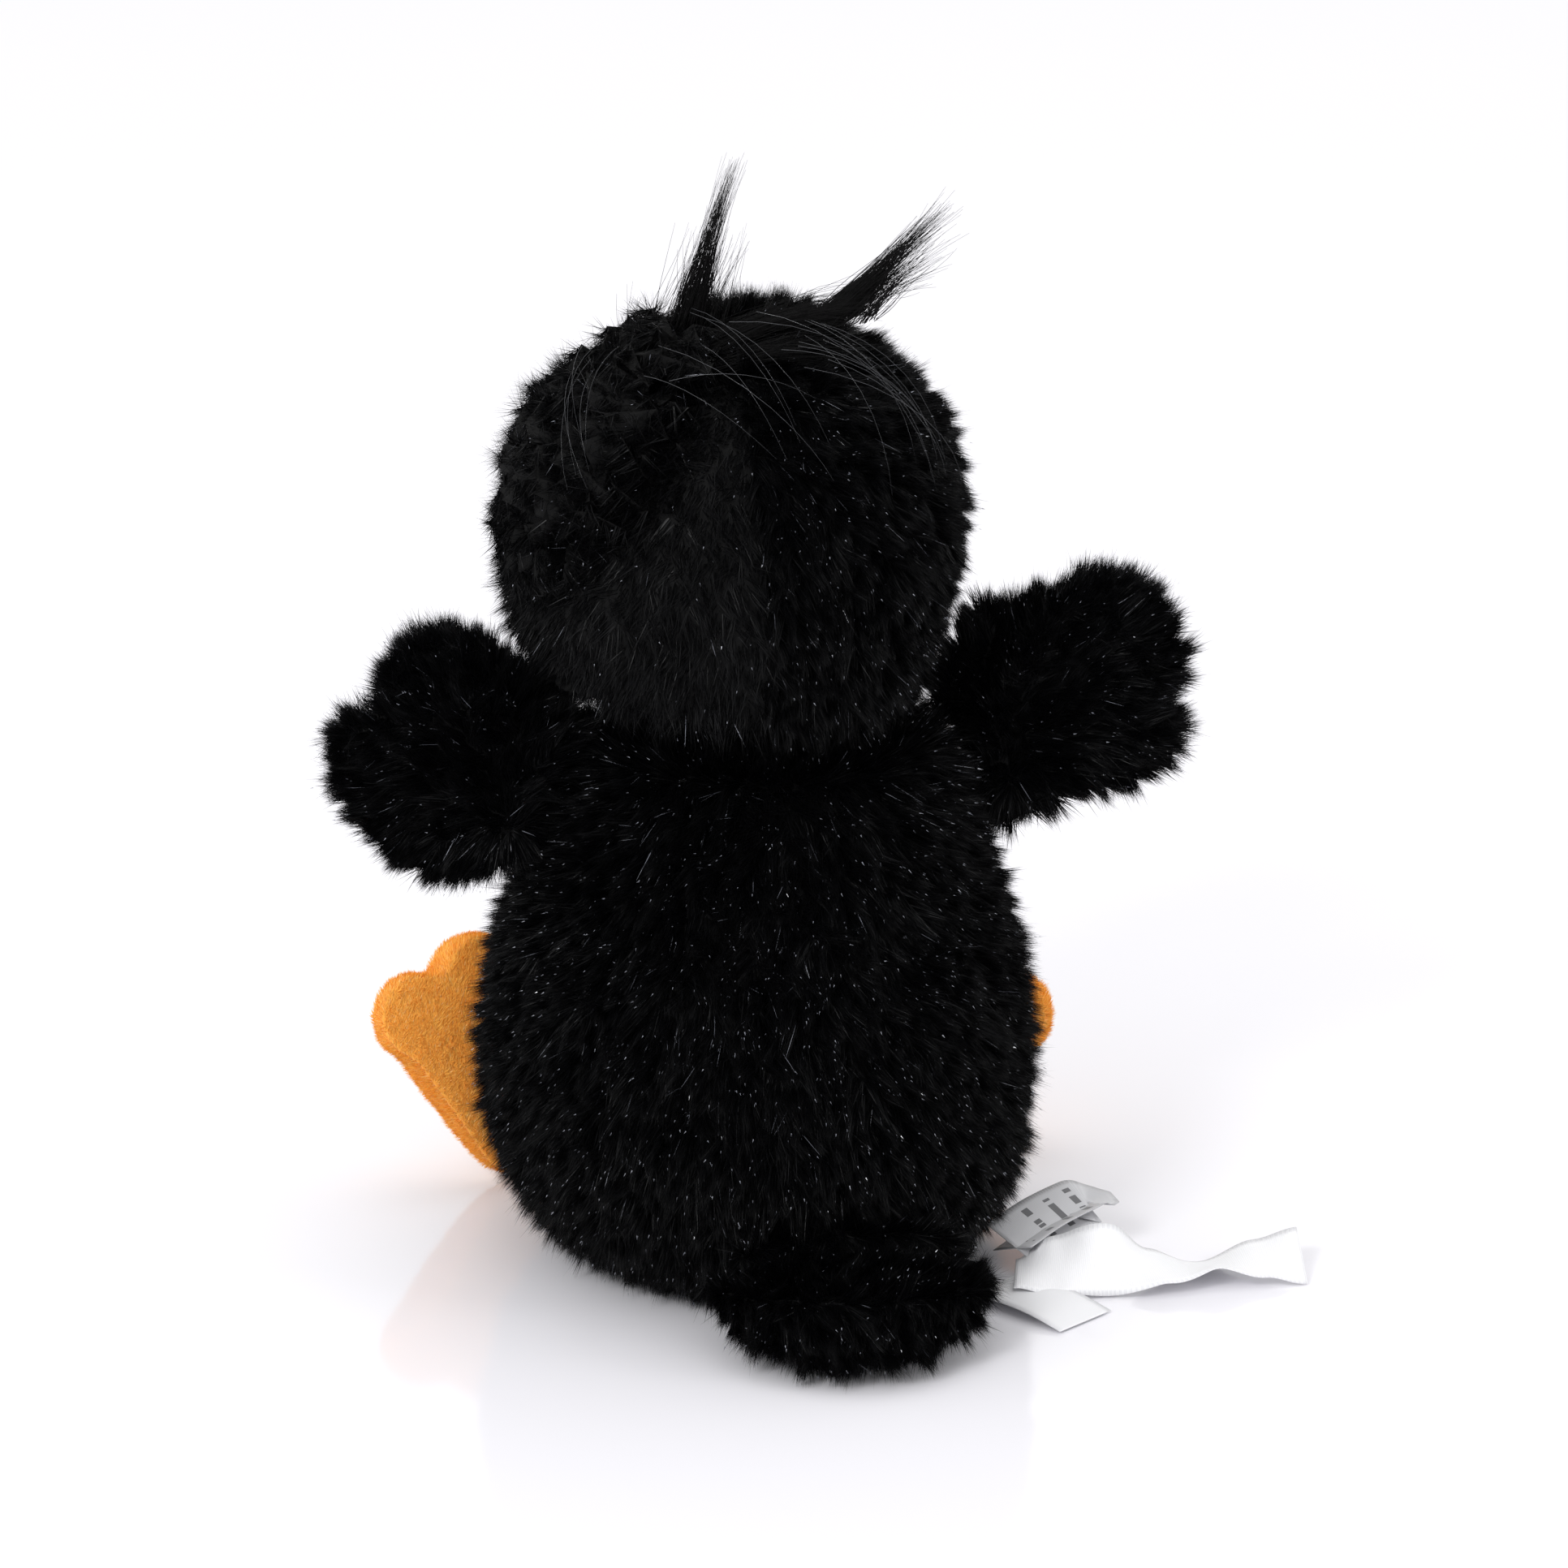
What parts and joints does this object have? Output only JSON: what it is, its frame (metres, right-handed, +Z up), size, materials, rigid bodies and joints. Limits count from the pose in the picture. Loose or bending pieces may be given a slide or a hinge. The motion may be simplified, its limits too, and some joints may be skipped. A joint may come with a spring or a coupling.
{
  "type": "plush penguin",
  "caption": "Seated stuffed toy penguin in black long-pile plush with raised mitten-like wings, a wedge tail, and orange webbed feet and beak.",
  "frame": {"origin": "middle of the flat seat, on the surface that the toy sits on", "axes": "+Z up through the head, the face looks along -Y, the toy's own left is +X"},
  "size_m": [0.1654, 0.13, 0.1973],
  "materials": {
    "plush_black": "matte",
    "plush_white": "matte",
    "velboa_orange": "matte",
    "polyester_stuffing": "matte",
    "bean_bag_cotton": "matte",
    "eye_black_gloss": "gloss",
    "washer_nylon": "matte",
    "satin_printed_grey": "satin",
    "satin_white": "satin"
  },
  "bodies": {
    "torso": {"torso_seat_panel": "plush_black", "torso_belly_panel": "plush_white", "torso_back_left_panel": "plush_black", "torso_back_right_panel": "plush_black", "torso_stuffing": "polyester_stuffing", "bean_bag": "bean_bag_cotton"},
    "neck": {"neck_skin": "plush_black", "neck_stuffing": "polyester_stuffing"},
    "head": {"head_face_panel": "plush_white", "head_back_panel": "plush_black", "head_crown_panel": "plush_black", "head_left_panel": "plush_black", "head_right_panel": "plush_black", "head_stuffing": "polyester_stuffing", "beak_upper": "velboa_orange", "beak_lower": "velboa_orange", "beak_stuffing": "polyester_stuffing", "eye_left": "eye_black_gloss", "eye_right": "eye_black_gloss", "eye_washer_left": "washer_nylon", "eye_washer_right": "washer_nylon", "hair_tuft_left": "plush_black", "hair_tuft_right": "plush_black"},
    "wing_left": {"wing_left_front_panel": "plush_black", "wing_left_back_panel": "plush_black", "wing_left_stuffing": "polyester_stuffing"},
    "wing_right": {"wing_right_front_panel": "plush_black", "wing_right_back_panel": "plush_black", "wing_right_stuffing": "polyester_stuffing"},
    "foot_left": {"foot_left_sole_panel": "velboa_orange", "foot_left_instep_panel": "velboa_orange", "foot_left_stuffing": "polyester_stuffing"},
    "foot_right": {"foot_right_sole_panel": "velboa_orange", "foot_right_instep_panel": "velboa_orange", "foot_right_stuffing": "polyester_stuffing"},
    "tail": {"tail_top_panel": "plush_black", "tail_under_panel": "plush_black", "tail_stuffing": "polyester_stuffing"},
    "care_label": {"care_label": "satin_printed_grey"},
    "satin_ribbon": {"satin_ribbon_long_end": "satin_white", "satin_ribbon_short_end": "satin_white"}
  },
  "joints": [
    {"name": "head_nod", "type": "hinge", "parent": "torso", "child": "neck", "pos_m": [0, 0, 0.09675], "axis": [1, 0, 0], "range_deg": [-12, 12], "stiffness_Nm_per_rad": 0.08},
    {"name": "head_turn", "type": "hinge", "parent": "neck", "child": "head", "pos_m": [0, 0, 0.09675], "axis": [0, 0, 1], "range_deg": [-30, 30], "stiffness_Nm_per_rad": 0.05},
    {"name": "wing_left_swing", "type": "hinge", "parent": "torso", "child": "wing_left", "pos_m": [0.0445, 0, 0.0705], "axis": [-0.2066, 0, 0.9784], "range_deg": [-12, 35], "stiffness_Nm_per_rad": 0.02},
    {"name": "wing_right_swing", "type": "hinge", "parent": "torso", "child": "wing_right", "pos_m": [-0.043, 0, 0.073], "axis": [0.2135, 0, 0.977], "range_deg": [-35, 40], "stiffness_Nm_per_rad": 0.02},
    {"name": "foot_left_fold", "type": "hinge", "parent": "torso", "child": "foot_left", "pos_m": [0.036, -0.038, 0.007], "axis": [0.9397, 0.342, 0], "range_deg": [0, 65], "stiffness_Nm_per_rad": 0.015},
    {"name": "foot_right_fold", "type": "hinge", "parent": "torso", "child": "foot_right", "pos_m": [-0.033, -0.04, 0.007], "axis": [0.809, -0.5878, 0], "range_deg": [0, 65], "stiffness_Nm_per_rad": 0.015},
    {"name": "tail_lift", "type": "hinge", "parent": "torso", "child": "tail", "pos_m": [-0.004, 0.048, 0.0095], "axis": [0.9903, -0.1392, 0], "range_deg": [0, 14], "stiffness_Nm_per_rad": 0.01},
    {"name": "care_label_flap", "type": "hinge", "parent": "torso", "child": "care_label", "pos_m": [-0.0442, 0.0218, 0.0082], "axis": [-0.515, 0.8572, 0], "range_deg": [-15, 50], "stiffness_Nm_per_rad": 0.0005},
    {"name": "satin_ribbon_flap", "type": "hinge", "parent": "torso", "child": "satin_ribbon", "pos_m": [-0.031, 0.0232, 0.001], "axis": [0.6, 0.8, 0], "range_deg": [0, 18], "stiffness_Nm_per_rad": 0.002}
  ]
}
